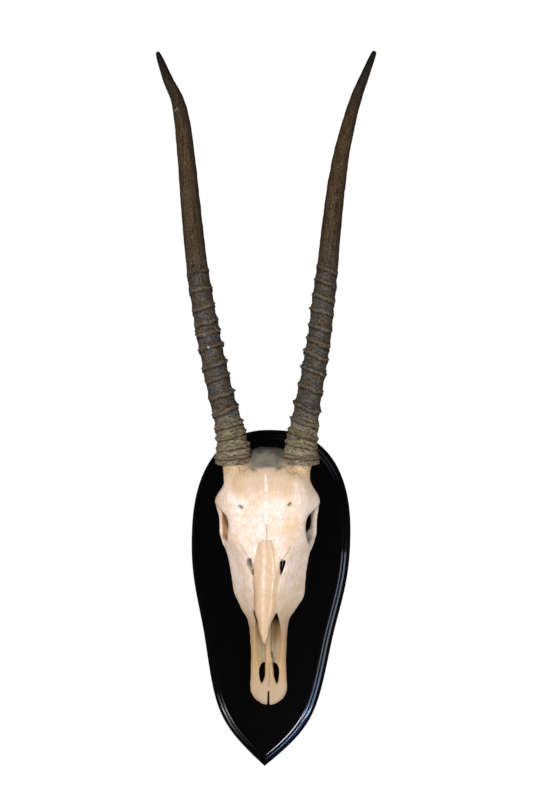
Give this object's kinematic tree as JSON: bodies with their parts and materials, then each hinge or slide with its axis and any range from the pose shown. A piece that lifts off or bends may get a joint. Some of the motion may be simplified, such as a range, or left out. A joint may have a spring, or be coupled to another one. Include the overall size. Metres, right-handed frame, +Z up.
{
  "type": "antelope skull trophy mount",
  "caption": "Bleached antelope skull with two long, nearly straight ringed horns, fixed to a black polished shield-shaped board that hangs flat on a wall.",
  "frame": {"origin": "on the flat back of the board, on its midline where the board is widest", "axes": "+Y goes into the wall, square to the board's back; +Z runs up the board's midline; the skull faces -Y"},
  "size_m": [0.3337, 0.1527, 1.1149],
  "materials": {
    "ebonised_wood": "hardwood stained black and polished to a high gloss",
    "bone": "boiled and bleached bone, cream with a dull sheen",
    "horn": "natural horn, ringed and grey-brown low down, dark brown and finely grained above",
    "screw_steel": "zinc plated steel"
  },
  "bodies": {
    "root": {"plaque": "ebonised_wood", "skull": "bone", "horn_left": "horn", "horn_right": "horn", "mounting_screw_upper": "screw_steel", "mounting_screw_lower": "screw_steel"}
  },
  "joints": []
}
